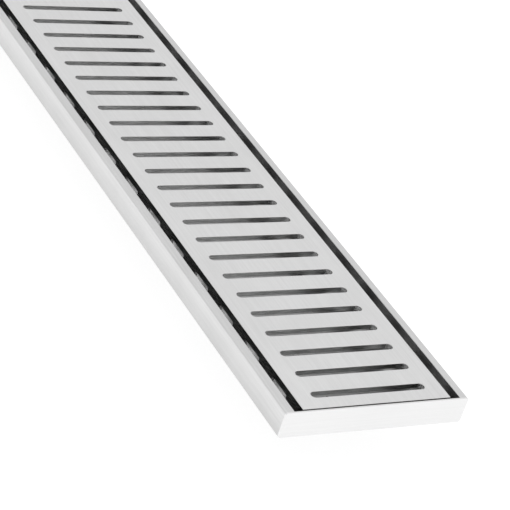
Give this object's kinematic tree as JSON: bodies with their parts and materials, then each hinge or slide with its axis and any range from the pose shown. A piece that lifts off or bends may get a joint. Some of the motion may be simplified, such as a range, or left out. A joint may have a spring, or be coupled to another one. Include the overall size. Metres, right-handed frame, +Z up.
{
  "type": "linear floor drain grate",
  "caption": "Long shallow steel floor drain channel with a drop-in slotted grate, welded end plates and a round bottom outlet holding a lift-out strainer.",
  "frame": {"origin": "on the axis of the round outlet, level with the flat underside of the channel", "axes": "+Z up out of the floor, +Y along the channel towards the end nearest the outlet, +X across the channel"},
  "size_m": [0.1, 0.6, 0.039],
  "materials": {
    "brushed_grate": "satin, brushed along the grate",
    "brushed_channel": "satin, brushed along the channel",
    "mill_skirt": "as rolled, dull and smooth",
    "brushed_end": "satin, brushed across the end",
    "drawn_steel": "satin, plain drawn surface",
    "turned_steel": "fine turned rings",
    "rubber": "matt black"
  },
  "bodies": {
    "channel": {"channel_tray": "brushed_channel", "near_end_plate": "brushed_end", "far_end_plate": "brushed_end", "outlet_spigot": "drawn_steel"},
    "grate": {"grate_plate": "brushed_grate", "left_skirt": "mill_skirt", "right_skirt": "mill_skirt", "left_shoes": "rubber", "right_shoes": "rubber"},
    "strainer": {"strainer_seal": "rubber", "strainer_basket": "drawn_steel", "strainer_knob": "turned_steel", "strainer_screw": "turned_steel"}
  },
  "joints": [
    {"name": "grate_lift", "type": "slide", "parent": "channel", "child": "grate", "axis": [0, 0, 1], "range_m": [0, 0.15]},
    {"name": "strainer_lift", "type": "slide", "parent": "channel", "child": "strainer", "axis": [0, 0, 1], "range_m": [0, 0.075]}
  ],
  "couplings": [
    {"joint": "strainer_lift", "follows": "grate_lift", "ratio": 0.5}
  ]
}
